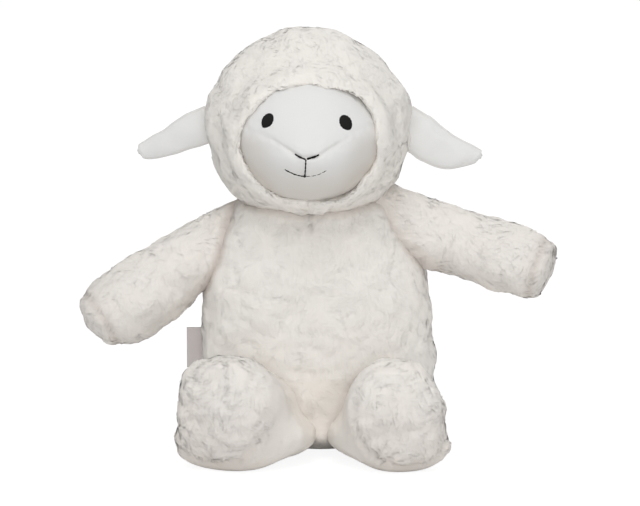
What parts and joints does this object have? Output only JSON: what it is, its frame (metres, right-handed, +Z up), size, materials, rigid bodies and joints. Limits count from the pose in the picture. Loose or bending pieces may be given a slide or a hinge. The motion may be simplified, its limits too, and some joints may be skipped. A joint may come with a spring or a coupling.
{
  "type": "plush sheep",
  "caption": "Sitting plush sheep with a fleece body, hood, arms and legs, a smooth cloth face with embroidered features and drooping ears.",
  "frame": {"origin": "middle of the flat seat, on the surface that the toy sits on", "axes": "+Z up, the face looks along -Y, +X to the right of someone who looks at the face"},
  "size_m": [0.2801, 0.1491, 0.253],
  "materials": {
    "fleece": "soft clumped fleece",
    "smooth_cloth": "brushed short pile",
    "thread": "satin stitch",
    "fill": "loose fibre",
    "muslin": "plain weave",
    "ribbon": "woven ribbon"
  },
  "bodies": {
    "body": {"body_front_left": "fleece", "body_front_right": "fleece", "body_back_left": "fleece", "body_back_right": "fleece", "body_base": "fleece", "body_stuffing": "fill", "bead_pouch": "muslin", "side_label": "ribbon"},
    "neck": {"neck_stuffing": "fill"},
    "head": {"hood_left": "fleece", "hood_right": "fleece", "face_upper": "smooth_cloth", "face_muzzle": "smooth_cloth", "head_stuffing": "fill", "left_eye": "thread", "right_eye": "thread", "nose_stitch": "thread", "lip_stitch": "thread", "mouth_stitch": "thread"},
    "left_ear": {"left_ear_front": "smooth_cloth", "left_ear_back": "smooth_cloth"},
    "right_ear": {"right_ear_front": "smooth_cloth", "right_ear_back": "smooth_cloth"},
    "left_arm": {"left_arm": "fleece", "left_paw": "fleece", "left_arm_stuffing": "fill"},
    "right_arm": {"right_arm": "fleece", "right_paw": "fleece", "right_arm_stuffing": "fill"},
    "left_leg": {"left_leg": "fleece", "left_sole": "fleece", "left_leg_stuffing": "fill"},
    "right_leg": {"right_leg": "fleece", "right_sole": "fleece", "right_leg_stuffing": "fill"}
  },
  "joints": [
    {"name": "head_turn", "type": "hinge", "parent": "body", "child": "neck", "pos_m": [0, 0, 0.146], "axis": [0, 0, 1], "range_deg": [-30, 30], "stiffness_Nm_per_rad": 0.5},
    {"name": "head_nod", "type": "hinge", "parent": "neck", "child": "head", "pos_m": [0, 0, 0.146], "axis": [1, 0, 0], "range_deg": [-15, 5], "stiffness_Nm_per_rad": 0.6},
    {"name": "left_ear_swing", "type": "hinge", "parent": "head", "child": "left_ear", "pos_m": [-0.0659, -0.005, 0.192], "axis": [0, 0, 1], "range_deg": [-40, 50], "stiffness_Nm_per_rad": 0.01},
    {"name": "right_ear_swing", "type": "hinge", "parent": "head", "child": "right_ear", "pos_m": [0.0619, -0.005, 0.192], "axis": [0, 0, -1], "range_deg": [-40, 50], "stiffness_Nm_per_rad": 0.01},
    {"name": "left_shoulder", "type": "hinge", "parent": "body", "child": "left_arm", "pos_m": [-0.0575, -0.001, 0.1195], "axis": [0, 1, 0], "range_deg": [-12, 45], "stiffness_Nm_per_rad": 0.15},
    {"name": "right_shoulder", "type": "hinge", "parent": "body", "child": "right_arm", "pos_m": [0.057, -0.001, 0.132], "axis": [0, -1, 0], "range_deg": [-12, 30], "stiffness_Nm_per_rad": 0.15},
    {"name": "left_hip", "type": "hinge", "parent": "body", "child": "left_leg", "pos_m": [-0.0325, -0.045, 0.0265], "axis": [-0.9336, 0.3584, 0], "range_deg": [-45, 25], "stiffness_Nm_per_rad": 0.2},
    {"name": "right_hip", "type": "hinge", "parent": "body", "child": "right_leg", "pos_m": [0.041, -0.045, 0.0265], "axis": [-0.9816, -0.1908, 0], "range_deg": [-45, 25], "stiffness_Nm_per_rad": 0.2}
  ]
}
